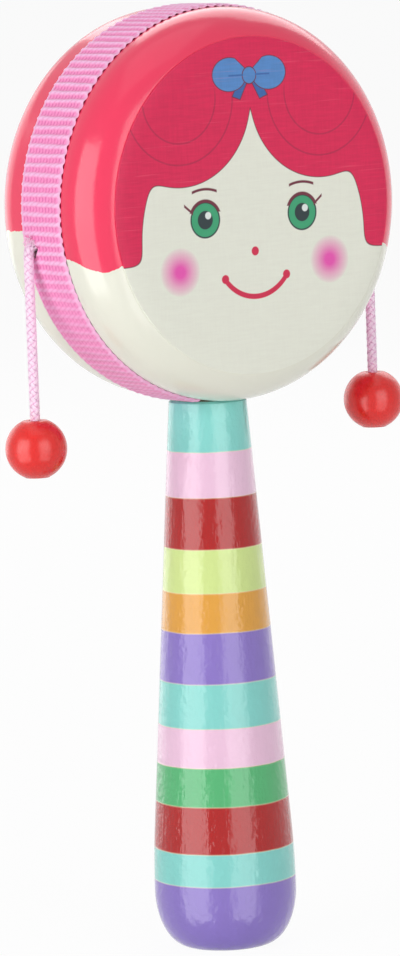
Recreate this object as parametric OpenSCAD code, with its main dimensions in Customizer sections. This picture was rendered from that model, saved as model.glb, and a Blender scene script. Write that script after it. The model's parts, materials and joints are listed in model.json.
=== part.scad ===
// Pellet drum rattle: a hollow wooden drum on a turned handle, with a bead on a cord at each side.
// The base of the handle stands on Z = 0, the handle runs up +Z, and the front drum head faces -Y.
// The drum is two turned cups glued rim to rim. A ribbon covers the glue line, and a dowel pin
// holds the drum on the handle. Each cord comes out of a hole in the rim, held by a knot inside.

/* [Drum] */
// Diameter of the wooden drum
drum_d = 75; // [62:1:90]
// Thickness of the wooden drum, from the front head to the rear head
drum_w = 34; // [29:0.5:40]
// Thickness of each drum head
head_t = 3.5; // [2:0.1:5]
// Thickness of the rim wall
wall_t = 5; // [4:0.1:7]
// Radius of the rounded shoulder between rim and head
shoulder_r = 9.4; // [7:0.1:10]
// Distance from the rim in to the edge of the flat that the shoulder is faced off to
head_inset = 5.4; // [4:0.1:6]
// Radius of the inside corner of each cup
inner_corner_r = 3; // [1:0.1:5]
// Length of the spigot that centres the two cups
spigot_len = 2.5; // [1.5:0.1:4]
// Thickness of the spigot
spigot_t = 2; // [1.4:0.1:2.5]

/* [Ribbon] */
// Width of the grosgrain ribbon
ribbon_w = 12.5; // [9:0.5:14]
// Thickness of the ribbon
ribbon_t = 0.5; // [0.3:0.05:0.8]
// Depth of the shallow groove that the ribbon lies in
groove_depth = 0.35; // [0.2:0.05:0.8]
// Distance of each ribbon end from the middle of the handle
ribbon_end_x = 7; // [5.5:0.1:10]

/* [Printed heads] */
// Distance of the printed film from the edge of the flat that it lies on
print_margin = 0.2; // [0.1:0.1:4]
// Thickness of the printed film
print_t = 0.2; // [0.1:0.05:0.5]

/* [Handle] */
// Length of the handle
handle_len = 106.6; // [85:0.2:130]
// Diameter at the top, under the drum
handle_top_d = 15; // [12:0.5:18]
// Diameter at the widest place
handle_max_d = 27.5; // [20:0.5:34]
// Diameter of the flat that the rattle stands on
base_flat_d = 15; // [8:0.5:19]
// Height of the widest place above the base
belly_z = 11; // [8:0.5:16]
// Height over which the belly runs out into the straight taper
belly_run = 12; // [6:0.5:20]
// Width of the broken edge at the top
top_edge = 0.4; // [0.2:0.1:0.8]

/* [Dowel] */
// Diameter of the dowel pin
dowel_d = 8; // [5:0.5:9]
// Length of the dowel pin
dowel_len = 25; // [20:0.5:34]
// Depth that the dowel goes into the handle
dowel_seat = 18; // [13:0.5:20]
// Width of the broken edge at each end of the dowel
dowel_edge = 0.8; // [0.3:0.1:1.2]

/* [Cords] */
// Diameter of the cord
cord_d = 2; // [1.4:0.1:2.4]
// Clearance round the cord in its hole and in the bead
cord_clear = 0.6; // [0.3:0.1:1]
// Angle of each cord hole below the middle of the drum, in degrees
cord_angle = 8.8; // [0:0.2:20]
// Distance of each cord hole from the glue line
cord_offset = 2.4; // [2:0.1:3.2]
// Radius that the cord bends round as it turns down out of its hole
cord_bend_r = 1.6; // [1.4:0.1:2.4]
// Drop from the bend to the middle of the left bead
left_drop = 36.6; // [30:0.2:44]
// Drop from the bend to the middle of the right bead
right_drop = 33.7; // [30:0.2:44]
// Size across a knot
knot_d = 3.8; // [3.2:0.1:3.9]

/* [Beads] */
// Diameter of the bead
bead_d = 11.7; // [11:0.1:14]
// Height of the bead between its flats
bead_h = 10.8; // [9:0.1:10.8]
// Depth of the recess that takes the knot under the bead
knot_recess = 2.8; // [2.6:0.1:3.4]

/* [Hidden] */

// Smoothness of turned work, of small bores and of the outline of the handle
$fn = 96;
bore_fn = 48;
arc_steps = 14;
run_steps = 5;

// Film of glue between seated pieces, and the overrun of every cut
glue_gap = 0.05;
cut_over = 1;

// Small sizes that nobody sets by themselves
seat_gap = 0.1;
groove_play = 0.1;
knot_play = 0.2;
knot_tail = 3;

// Turns in a knot, and shares of the cord's diameter: tight turns, their pitch, and a squeezed cord
knot_turns = 2;
turn_share = 0.75;
turn_pitch_share = 0.55;
squeeze_share = 0.95;

// Places of the drum
drum_r = drum_d / 2;
drum_z = handle_len + seat_gap + drum_r;
cup_w = drum_w / 2;
floor_r = drum_r - groove_depth;
head_flat_r = drum_r - head_inset;
print_r = head_flat_r - print_margin;

// Middle of the shoulder's arc, which starts at a tangent to the rim and ends at the flat of the head
shoulder_end_a = acos(1 - head_inset / shoulder_r);
shoulder_x = drum_r - shoulder_r;
shoulder_y = cup_w - shoulder_r * sin(shoulder_end_a);
inner_r = drum_r - wall_t;
ribbon_end_a = asin(ribbon_end_x / floor_r);

// Sides of the rattle
LEFT = -1;
RIGHT = 1;

// Places of the cords: each one leaves the rim, bends down and hangs from its bend
cord_r = cord_d / 2;
cord_hole_d = cord_d + cord_clear;
bend_start_r = drum_r + seat_gap;
pivot_x = bend_start_r * cos(cord_angle) + cord_bend_r * (1 - sin(cord_angle));
pivot_z = drum_z - bend_start_r * sin(cord_angle) - cord_bend_r * cos(cord_angle);
turn_d = cord_d * turn_share;
turn_r = (knot_d - turn_d) / 2;
turn_pitch = cord_d * turn_pitch_share;
knot_h = (knot_turns - 1) * turn_pitch + turn_d;
knot_seat_r = inner_r - knot_h / 2 - glue_gap;
tail_end_r = knot_seat_r - knot_h / 2 - knot_tail;

// Places of the beads
knot_recess_d = knot_d + 2 * knot_play;
bead_knot_z = knot_recess - knot_h / 2 - bead_h / 2;

// Routes of the two cords below their bends, each down to its knot
left_route = [[0, 0, 0], [0, 0, -3], [0, 0, -7], [0, 0, -12], [0, 0, -17], [0, 0, -22],
              [0, 0, -27], [0, 0, -32], [0, 0, -36], [0, 0, -39.2]];
right_route = [[0, 0, 0], [0, 0, -3], [0, 0, -7], [0, 0, -11], [0, 0, -15], [0, 0, -20],
               [0, 0, -25], [0, 0, -30], [0, 0, -33], [0, 0, -36.3]];
cord_sides = 8;

// Painted bands of the handle: colour, and the top of each band as a share of the handle's length
band_colours = ["mediumpurple", "paleturquoise", "firebrick", "mediumseagreen", "thistle",
                "mediumaquamarine", "mediumpurple", "sandybrown", "khaki", "firebrick",
                "thistle", "mediumaquamarine"];
band_top_shares = [0.127, 0.187, 0.271, 0.342, 0.412, 0.493, 0.585, 0.656, 0.735, 0.827, 0.909, 1];

// Outline of the handle: a quarter oval at the base, a belly that runs out, then a straight taper
handle_top_r = handle_top_d / 2;
handle_max_r = handle_max_d / 2;
base_flat_r = base_flat_d / 2;
taper = (handle_max_r - handle_top_r) / (handle_len - belly_z - belly_run / 2);
base_arc = [for (i = [0 : arc_steps]) let (a = 90 * i / arc_steps)
    [base_flat_r + (handle_max_r - base_flat_r) * sin(a), belly_z * (1 - cos(a))]];
belly_curve = [for (i = [1 : run_steps]) let (u = belly_run * i / run_steps)
    [handle_max_r - taper * u * u / (2 * belly_run), belly_z + u]];
top_edge_line = [[handle_top_r + taper * top_edge, handle_len - top_edge],
                 [handle_top_r - top_edge, handle_len]];
handle_outline = concat([[0, 0]], base_arc, belly_curve, top_edge_line, [[0, handle_len]]);

// Places a child along the radius of a cord hole, with its +Z pointing out of the drum
module at_cord_hole(side) {
    translate([0, -side * cord_offset, drum_z]) rotate([0, side * (90 + cord_angle), 0]) children();
}

// Half of the cup's cross-section, from the glue line (y = 0) out to the head: a rim with half of the
// ribbon's groove in it, then a wide round shoulder that is faced off flat for the film
module cup_outer_profile() {
    difference() {
        intersection() {
            union() {
                square([shoulder_x, cup_w]);
                square([drum_r, shoulder_y]);
                translate([shoulder_x, shoulder_y]) circle(r = shoulder_r);
            }
            square([drum_r, cup_w]);
        }
        translate([floor_r, -cut_over])
            square([groove_depth + cut_over, ribbon_w / 2 + groove_play + cut_over]);
    }
}

module cup_inner_profile() {
    inner_w = cup_w - head_t;
    square([inner_r - inner_corner_r, inner_w]);
    translate([0, -cut_over]) square([inner_r, inner_w - inner_corner_r + cut_over]);
    translate([inner_r - inner_corner_r, inner_w - inner_corner_r]) circle(r = inner_corner_r);
}

// Holes drilled after the cups are glued: two for the cords and one for the dowel
module drilled_holes() {
    for (side = [LEFT, RIGHT])
        at_cord_hole(side) translate([0, 0, inner_r - cut_over])
            cylinder(d = cord_hole_d, h = wall_t + 2 * cut_over, $fn = bore_fn);
    translate([0, 0, drum_z - drum_r - cut_over])
        cylinder(d = dowel_d + 2 * glue_gap, h = wall_t + 2 * cut_over, $fn = bore_fn);
}

// Cup with its spigot, standing on the glue line with its head up
module spigot_cup() {
    rotate_extrude() difference() {
        union() {
            cup_outer_profile();
            translate([inner_r, -spigot_len]) square([spigot_t, spigot_len + cut_over]);
        }
        cup_inner_profile();
        translate([0, -spigot_len - cut_over]) square([inner_r, spigot_len + 2 * cut_over]);
    }
}

// Cup with the rebate that takes the spigot
module rebated_cup() {
    rotate_extrude() difference() {
        cup_outer_profile();
        cup_inner_profile();
        translate([inner_r - cut_over, -cut_over])
            square([spigot_t + glue_gap + cut_over, spigot_len + glue_gap + cut_over]);
    }
}

module front_shell() {
    color("crimson") difference() {
        translate([0, 0, drum_z]) rotate([90, 0, 0]) spigot_cup();
        drilled_holes();
    }
}

module rear_shell() {
    color("crimson") difference() {
        translate([0, 0, drum_z]) rotate([-90, 0, 0]) rebated_cup();
        drilled_holes();
    }
}

// Printed film, laid on the flat of a head
module front_print() {
    color("mistyrose") translate([0, -cup_w, drum_z]) rotate([90, 0, 0])
        cylinder(r = print_r, h = print_t);
}

module rear_print() {
    color("mistyrose") translate([0, cup_w, drum_z]) rotate([-90, 0, 0])
        cylinder(r = print_r, h = print_t);
}

// Ribbon round the rim, from one side of the handle to the other, with a hole for each cord
module ribbon() {
    color("hotpink") difference() {
        translate([0, 0, drum_z]) rotate([90, 0, 0])
            rotate([0, 0, ribbon_end_a - 90])
                rotate_extrude(angle = 360 - 2 * ribbon_end_a)
                    translate([floor_r + glue_gap, -ribbon_w / 2]) square([ribbon_t, ribbon_w]);
        drilled_holes();
    }
}

// Turned handle with a blind hole for the dowel, shown in its painted bands
module handle() {
    difference() {
        for (i = [0 : len(band_colours) - 1]) {
            low = i == 0 ? 0 : handle_len * band_top_shares[i - 1];
            high = handle_len * band_top_shares[i];
            color(band_colours[i]) rotate_extrude() intersection() {
                polygon(handle_outline);
                translate([0, low]) square([handle_max_r + cut_over, high - low]);
            }
        }
        translate([0, 0, handle_len - dowel_seat - 2 * glue_gap])
            cylinder(d = dowel_d + 2 * glue_gap, h = dowel_seat + cut_over, $fn = bore_fn);
    }
}

module dowel() {
    r = dowel_d / 2;
    color("burlywood") translate([0, 0, handle_len - dowel_seat]) rotate_extrude()
        polygon([[0, 0], [r - dowel_edge, 0], [r, dowel_edge], [r, dowel_len - dowel_edge],
                 [r - dowel_edge, dowel_len], [0, dowel_len]]);
}

// Barrel knot: turns of tight cord stacked round the cord, along Z
module knot() {
    rotate_extrude($fn = bore_fn) {
        translate([0, -knot_h / 2]) square([turn_r, knot_h]);
        for (i = [0 : knot_turns - 1])
            translate([turn_r, (i - (knot_turns - 1) / 2) * turn_pitch])
                circle(d = turn_d, $fn = bore_fn);
    }
}

// Knot inside the drum, the cord through its hole and the bend that turns it down
module stopper_knot(side) {
    color("lavenderblush") {
        at_cord_hole(side) {
            translate([0, 0, knot_seat_r]) knot();
            translate([0, 0, tail_end_r])
                cylinder(d = cord_d * squeeze_share, h = bend_start_r + glue_gap - tail_end_r,
                         $fn = bore_fn);
        }
        translate([side * pivot_x, -side * cord_offset, pivot_z])
            mirror([side == LEFT ? 1 : 0, 0, 0]) translate([-cord_bend_r, 0, 0])
                rotate([90, 0, 0]) rotate_extrude(angle = 90 - cord_angle, $fn = bore_fn)
                    translate([cord_bend_r, 0]) circle(d = cord_d, $fn = bore_fn);
    }
}

module left_stopper_knot() {
    stopper_knot(LEFT);
}

module right_stopper_knot() {
    stopper_knot(RIGHT);
}

// Tube of a hanging cord, swept down the points of its route
function ring_at(point) = [for (k = [0 : cord_sides - 1])
    point + cord_r * [cos(360 * k / cord_sides), sin(360 * k / cord_sides), 0]];

module cord_tube(route) {
    rings = len(route);
    points = [for (p = route) each ring_at(p)];
    sides = [for (i = [0 : rings - 2], k = [0 : cord_sides - 1])
        let (a = i * cord_sides + k, b = i * cord_sides + (k + 1) % cord_sides)
            [a, b, b + cord_sides, a + cord_sides]];
    top = [[for (k = [cord_sides - 1 : -1 : 0]) k]];
    bottom = [[for (k = [0 : cord_sides - 1]) (rings - 1) * cord_sides + k]];
    polyhedron(points = points, faces = concat(sides, top, bottom));
}

module left_cord() {
    color("plum") translate([LEFT * pivot_x, -LEFT * cord_offset, pivot_z]) cord_tube(left_route);
}

module right_cord() {
    color("plum") translate([RIGHT * pivot_x, -RIGHT * cord_offset, pivot_z])
        cord_tube(right_route);
}

// Places a child at the middle of a bead
module at_bead(side, drop) {
    translate([side * pivot_x, -side * cord_offset, pivot_z - drop]) children();
}

// Round bead with flats at its poles, a bore for the cord and a recess for the knot
module bead() {
    difference() {
        rotate_extrude() intersection() {
            circle(d = bead_d);
            translate([0, -bead_h / 2]) square([bead_d, bead_h]);
        }
        translate([0, 0, -bead_h / 2 - cut_over])
            cylinder(d = cord_hole_d, h = bead_h + 2 * cut_over, $fn = bore_fn);
        translate([0, 0, -bead_h / 2 - cut_over])
            cylinder(d = knot_recess_d, h = knot_recess + cut_over, $fn = bore_fn);
    }
}

module left_bead() {
    color("red") at_bead(LEFT, left_drop) bead();
}

module right_bead() {
    color("red") at_bead(RIGHT, right_drop) bead();
}

module left_bead_knot() {
    color("plum") at_bead(LEFT, left_drop) translate([0, 0, bead_knot_z]) knot();
}

module right_bead_knot() {
    color("plum") at_bead(RIGHT, right_drop) translate([0, 0, bead_knot_z]) knot();
}

front_shell();
rear_shell();
front_print();
rear_print();
ribbon();
handle();
dowel();
left_stopper_knot();
right_stopper_knot();
left_cord();
right_cord();
left_bead();
right_bead();
left_bead_knot();
right_bead_knot();
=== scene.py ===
"""Looks of the pellet drum rattle.

A lacquered drum with printed heads and a ribbon stands on a handle painted in bands, and a bead hangs on a
cord at each side. Sizes are given in millimetres, as a maker would write them down, and every mesh is made
in metres.
"""

import json
import logging
import math
import random
from collections.abc import Callable, Iterable, Sequence
from dataclasses import dataclass, field
from enum import Enum

import bmesh
import bpy
from mathutils import Matrix, Vector


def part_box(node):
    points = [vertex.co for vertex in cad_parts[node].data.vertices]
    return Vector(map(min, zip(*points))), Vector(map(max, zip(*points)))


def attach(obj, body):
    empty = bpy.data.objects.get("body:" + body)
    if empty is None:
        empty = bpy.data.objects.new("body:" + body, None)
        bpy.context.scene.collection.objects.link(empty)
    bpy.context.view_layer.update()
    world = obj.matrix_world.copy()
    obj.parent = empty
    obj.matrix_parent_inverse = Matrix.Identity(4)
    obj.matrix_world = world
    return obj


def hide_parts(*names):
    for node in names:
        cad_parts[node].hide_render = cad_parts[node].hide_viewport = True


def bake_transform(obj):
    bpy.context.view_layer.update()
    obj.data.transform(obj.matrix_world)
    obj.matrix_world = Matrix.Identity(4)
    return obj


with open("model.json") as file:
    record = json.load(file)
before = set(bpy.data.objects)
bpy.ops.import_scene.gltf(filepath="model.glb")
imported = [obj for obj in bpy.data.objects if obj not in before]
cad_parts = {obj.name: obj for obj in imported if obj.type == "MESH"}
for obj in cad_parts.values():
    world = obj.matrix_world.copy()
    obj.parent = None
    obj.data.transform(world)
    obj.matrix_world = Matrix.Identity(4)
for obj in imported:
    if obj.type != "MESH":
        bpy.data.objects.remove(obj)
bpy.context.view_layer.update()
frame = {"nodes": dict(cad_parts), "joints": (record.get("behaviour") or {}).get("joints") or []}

log = logging.getLogger("pellet_drum")

MM = 0.001
Point = tuple[float, float]
Colour = tuple[float, float, float, float]
Line = Callable[[float], tuple[Vector, Vector, Vector]]

X_AXIS, Y_AXIS, Z_AXIS = Vector((1.0, 0.0, 0.0)), Vector((0.0, 1.0, 0.0)), Vector((0.0, 0.0, 1.0))
WHITE: Colour = (1.0, 1.0, 1.0, 1.0)


def rgb(red: int, green: int, blue: int) -> Colour:
    """Turns a display colour of 0 to 255 a channel into the linear colour that shaders take."""
    def linear(channel: int) -> float:
        """Undoes the display curve of one channel."""
        share = channel / 255
        return share / 12.92 if share <= 0.04045 else ((share + 0.055) / 1.055) ** 2.4

    return (linear(red), linear(green), linear(blue), 1.0)


# Shader maths.


class Value:
    """A number that varies over a surface: a shader socket that takes Python's arithmetic."""

    def __init__(self, graph: "ShaderGraph", socket: bpy.types.NodeSocket) -> None:
        """Wraps a socket of the graph."""
        self.graph = graph
        self.socket = socket

    def maths(self, operation: str, *others: "Value | float", clamp: bool = False) -> "Value":
        """Adds a Math node that works on this value.

        Args:
            operation: name of the Math node's operation.
            others: the node's further values.
            clamp: keeps the result from 0 to 1.

        Returns:
            The node's result.
        """
        settings = {"operation": operation, "use_clamp": clamp}
        inputs = {i: v for i, v in enumerate((self, *others))}
        return Value(self.graph, self.graph.node("ShaderNodeMath", settings, inputs).outputs[0])

    def __add__(self, other: "Value | float") -> "Value":
        """Sum."""
        return self.maths("ADD", other)

    def __mul__(self, other: "Value | float") -> "Value":
        """Product."""
        return self.maths("MULTIPLY", other)

    def __sub__(self, other: "Value | float") -> "Value":
        """Difference."""
        return self.maths("SUBTRACT", other)

    def __rsub__(self, other: float) -> "Value":
        """Difference from a plain number."""
        return (self * -1.0) + other

    def __pow__(self, other: "Value | float") -> "Value":
        """Power."""
        return self.maths("POWER", other)

    def __abs__(self) -> "Value":
        """Size without its sign."""
        return self.maths("ABSOLUTE")

    __radd__ = __add__
    __rmul__ = __mul__

    def at_most(self, other: "Value | float") -> "Value":
        """The lower of two values."""
        return self.maths("MINIMUM", other)

    def at_least(self, other: "Value | float") -> "Value":
        """The higher of two values."""
        return self.maths("MAXIMUM", other)

    def merged_with(self, other: "Value", softness: float) -> "Value":
        """The lower of two distances, with a soft valley where they meet."""
        return self.maths("SMOOTH_MIN", other, softness)

    def wave(self, pitch: float) -> "Value":
        """A sine of this length, in the unit of the pitch."""
        return (self * (math.tau / pitch)).maths("SINE")

    def inside(self, softness: float) -> "Value":
        """Mask of where a signed distance is below zero, with an edge of this softness."""
        return self.maths("MULTIPLY_ADD", -1.0 / softness, 0.5, clamp=True)

    def between(self, low: float, high: float) -> "Value":
        """Share of the way from low to high, kept from 0 to 1."""
        return self.maths("MULTIPLY_ADD", 1.0 / (high - low), -low / (high - low), clamp=True)


class ShaderGraph:
    """A material or world under construction, with the position on the piece in millimetres."""

    def __init__(self, owner: bpy.types.Material | bpy.types.World) -> None:
        """Empties the nodes of a material or world."""
        self.owner = owner
        owner.use_nodes = True
        self.tree = owner.node_tree
        self.tree.nodes.clear()

    def node(
        self,
        kind: str,
        settings: dict[str, object] | None = None,
        inputs: dict[str | int, object] | None = None,
    ) -> bpy.types.Node:
        """Adds a node.

        Args:
            kind: type of the node.
            settings: properties of the node.
            inputs: values or links of its sockets, by name, identifier or number.

        Returns:
            The node.
        """
        made = self.tree.nodes.new(kind)
        for name, value in (settings or {}).items():
            setattr(made, name, value)
        for key, value in (inputs or {}).items():
            self._connect(self._socket(made, key), value)
        return made

    @staticmethod
    def _socket(node: bpy.types.Node, key: str | int) -> bpy.types.NodeSocket:
        """Finds a socket by its number, identifier or name."""
        if isinstance(key, int):
            return node.inputs[key]
        return next((s for s in node.inputs if s.identifier == key), None) or node.inputs[key]

    def _connect(self, socket: bpy.types.NodeSocket, value: object) -> None:
        """Links a socket to another, or sets its own value."""
        if isinstance(value, Value):
            value = value.socket
        if isinstance(value, bpy.types.NodeSocket):
            self.tree.links.new(value, socket)
        else:
            socket.default_value = value

    def place(self) -> bpy.types.NodeSocket:
        """Position on the piece in millimetres, as a vector."""
        coordinates = self.node("ShaderNodeTexCoord").outputs["Object"]
        scale = {"operation": "SCALE"}
        return self.node("ShaderNodeVectorMath", scale, {0: coordinates, "Scale": 1 / MM}).outputs[0]

    def lengths(self, vector: bpy.types.NodeSocket) -> tuple[Value, Value, Value]:
        """The three parts of a vector."""
        parts = self.node("ShaderNodeSeparateXYZ", None, {0: vector})
        return tuple(Value(self, s) for s in parts.outputs)

    def vector(self, x: Value | float, y: Value | float, z: Value | float) -> bpy.types.NodeSocket:
        """A vector of three numbers."""
        return self.node("ShaderNodeCombineXYZ", None, {0: x, 1: y, 2: z}).outputs[0]

    def stretched(self, vector: bpy.types.NodeSocket, by: tuple[float, float, float]) -> bpy.types.NodeSocket:
        """A vector scaled along each axis."""
        inputs = {0: vector, 1: by}
        return self.node("ShaderNodeVectorMath", {"operation": "MULTIPLY"}, inputs).outputs[0]

    def grain(self, vector: bpy.types.NodeSocket, size: float, detail: float = 2.0) -> Value:
        """Soft noise from about -1 to 1, with features of this size."""
        inputs = {"Vector": vector, "Scale": 1 / size, "Detail": detail}
        noise = self.node("ShaderNodeTexNoise", None, inputs)
        return (Value(self, noise.outputs["Fac"]) - 0.5) * 2.0

    def uv(self) -> tuple[Value, Value]:
        """The piece's own UV map, as two numbers."""
        along, across, _ = self.lengths(self.node("ShaderNodeTexCoord").outputs["UV"])
        return along, across

    def mixed(
        self, mask: Value | float, below: object, above: object, kind: str = "MIX"
    ) -> bpy.types.NodeSocket:
        """Lays one colour over another.

        Args:
            mask: how much of the upper colour shows.
            below: lower colour or link.
            above: upper colour or link.
            kind: the way the colours mix.

        Returns:
            The mixed colour.
        """
        settings = {"data_type": "RGBA", "blend_type": kind}
        inputs = {"Factor_Float": mask, "A_Color": below, "B_Color": above}
        made = self.node("ShaderNodeMix", settings, inputs)
        return next(s for s in made.outputs if s.identifier == "Result_Color")

    def relief(self, height: Value, strength: float = 1.0) -> bpy.types.NodeSocket:
        """Normal of a surface with this relief, its height in millimetres."""
        inputs = {"Strength": strength, "Distance": MM, "Height": height}
        return self.node("ShaderNodeBump", None, inputs).outputs[0]

    def finished(self, **sockets: object) -> bpy.types.Material:
        """Closes the material with a Principled shader.

        Args:
            sockets: values or links of the shader, with underscores for spaces in the names.

        Returns:
            The material.
        """
        inputs = {name.replace("_", " "): value for name, value in sockets.items()}
        shader = self.node("ShaderNodeBsdfPrincipled", None, inputs)
        self.node("ShaderNodeOutputMaterial", None, {"Surface": shader.outputs[0]})
        return self.owner


# Finishes.


@dataclass(frozen=True)
class Lacquer:
    """Brushed gloss lacquer over turned wood, with the fine waves that a brush leaves."""

    roughness: float
    specular_level: float
    coat_share: float = 0.2
    coat_roughness: float = 0.06
    wave_size: float = 1.7
    wave_height: float = 0.013
    streak_size: float = 0.7
    streak_height: float = 0.004
    tone_size: float = 3.0
    tone_share: float = 0.05
    tone: Colour = rgb(60, 20, 30)

    def material(
        self,
        name: str,
        paint: Callable[[ShaderGraph, bpy.types.NodeSocket], bpy.types.NodeSocket],
        grain_along: tuple[float, float, float],
        ridge: Callable[[ShaderGraph, bpy.types.NodeSocket], Value] | None = None,
    ) -> bpy.types.Material:
        """Makes the lacquer.

        Args:
            name: name of the material.
            paint: gives the colour of the paint from the position.
            grain_along: how much the brush strokes are drawn out along each axis, below 1 for long.
            ridge: gives the height of paint ridges from the position.

        Returns:
            The material.
        """
        graph = ShaderGraph(bpy.data.materials.new(name))
        place = graph.place()
        brushed = graph.stretched(place, grain_along)
        strokes = graph.grain(brushed, self.streak_size, 3.0)
        waves = graph.grain(place, self.wave_size)
        height = waves * self.wave_height + strokes * self.streak_height
        if ridge is not None:
            height = height + ridge(graph, place)
        shade = graph.grain(brushed, self.tone_size, 3.0).between(-1.0, 1.0)
        colour = graph.mixed(shade * self.tone_share, paint(graph, place), self.tone, "MULTIPLY")
        return graph.finished(
            Base_Color=colour,
            Roughness=strokes * 0.03 + self.roughness,
            Specular_IOR_Level=self.specular_level,
            Coat_Weight=self.coat_share,
            Coat_Roughness=self.coat_roughness,
            Normal=graph.relief(height),
        )


@dataclass(frozen=True)
class DrumPaint:
    """Two coats on a cup of the drum: one above and one below a line that a hand painted."""

    upper: Colour
    lower: Colour
    split_z: float
    fall: float
    lip_rise: float = 0.0
    wobble: float = 0.55
    fall_y: float = 6.3
    fall_run: float = 9.0
    lip_y: float = 12.6
    lip_run: float = 4.4

    def colour(self, graph: ShaderGraph, place: bpy.types.NodeSocket) -> bpy.types.NodeSocket:
        """Colour at a position: the upper coat above the split, which falls towards the head."""
        _, y, z = graph.lengths(place)
        edge = graph.grain(graph.stretched(place, (0.3, 1.0, 0.12)), 1.5) * self.wobble
        towards_head = (abs(y) - self.fall_y).between(0.0, self.fall_run) ** 1.6
        lip = (abs(y) - self.lip_y).between(0.0, self.lip_run) ** 2.4 * self.lip_rise
        split = towards_head * -self.fall + lip + self.split_z + edge
        return graph.mixed((split - z).inside(0.12), self.lower, self.upper)


@dataclass(frozen=True)
class BandPaint:
    """Bands of paint up the handle, masked by hand so that their edges wander a little."""

    colours: tuple[Colour, ...]
    tops: tuple[float, ...]
    length: float
    wobble: float = 0.16
    ridge_height: float = 0.03
    ridge_width: float = 0.28
    edge_tint: Colour = rgb(255, 232, 190)

    def height_on_handle(self, graph: ShaderGraph, place: bpy.types.NodeSocket) -> Value:
        """Height along the handle, shifted by the wandering of the hand."""
        _, _, z = graph.lengths(place)
        return z + graph.grain(graph.stretched(place, (0.5, 0.5, 0.2)), 4.0) * self.wobble

    def colour(self, graph: ShaderGraph, place: bpy.types.NodeSocket) -> bpy.types.NodeSocket:
        """Colour at a position."""
        height = self.height_on_handle(graph, place)
        colour = self.colours[0]
        for share, band in zip(self.tops, self.colours[1:]):
            colour = graph.mixed((share * self.length - height).inside(0.03), colour, band)
        edge = self.nearest_edge(graph, place).between(0.06, 0.22)
        return graph.mixed(edge * -0.3 + 0.3, colour, self.edge_tint)

    def nearest_edge(self, graph: ShaderGraph, place: bpy.types.NodeSocket) -> Value:
        """Distance to the nearest edge between two bands."""
        height = self.height_on_handle(graph, place)
        edges = [abs(height - share * self.length) for share in self.tops[:-1]]
        nearest = edges[0]
        for edge in edges[1:]:
            nearest = nearest.at_most(edge)
        return nearest

    def ridge(self, graph: ShaderGraph, place: bpy.types.NodeSocket) -> Value:
        """Thin ridge of paint along each edge."""
        away = self.nearest_edge(graph, place).between(0.0, self.ridge_width)
        return (1.0 - away) * self.ridge_height


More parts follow.
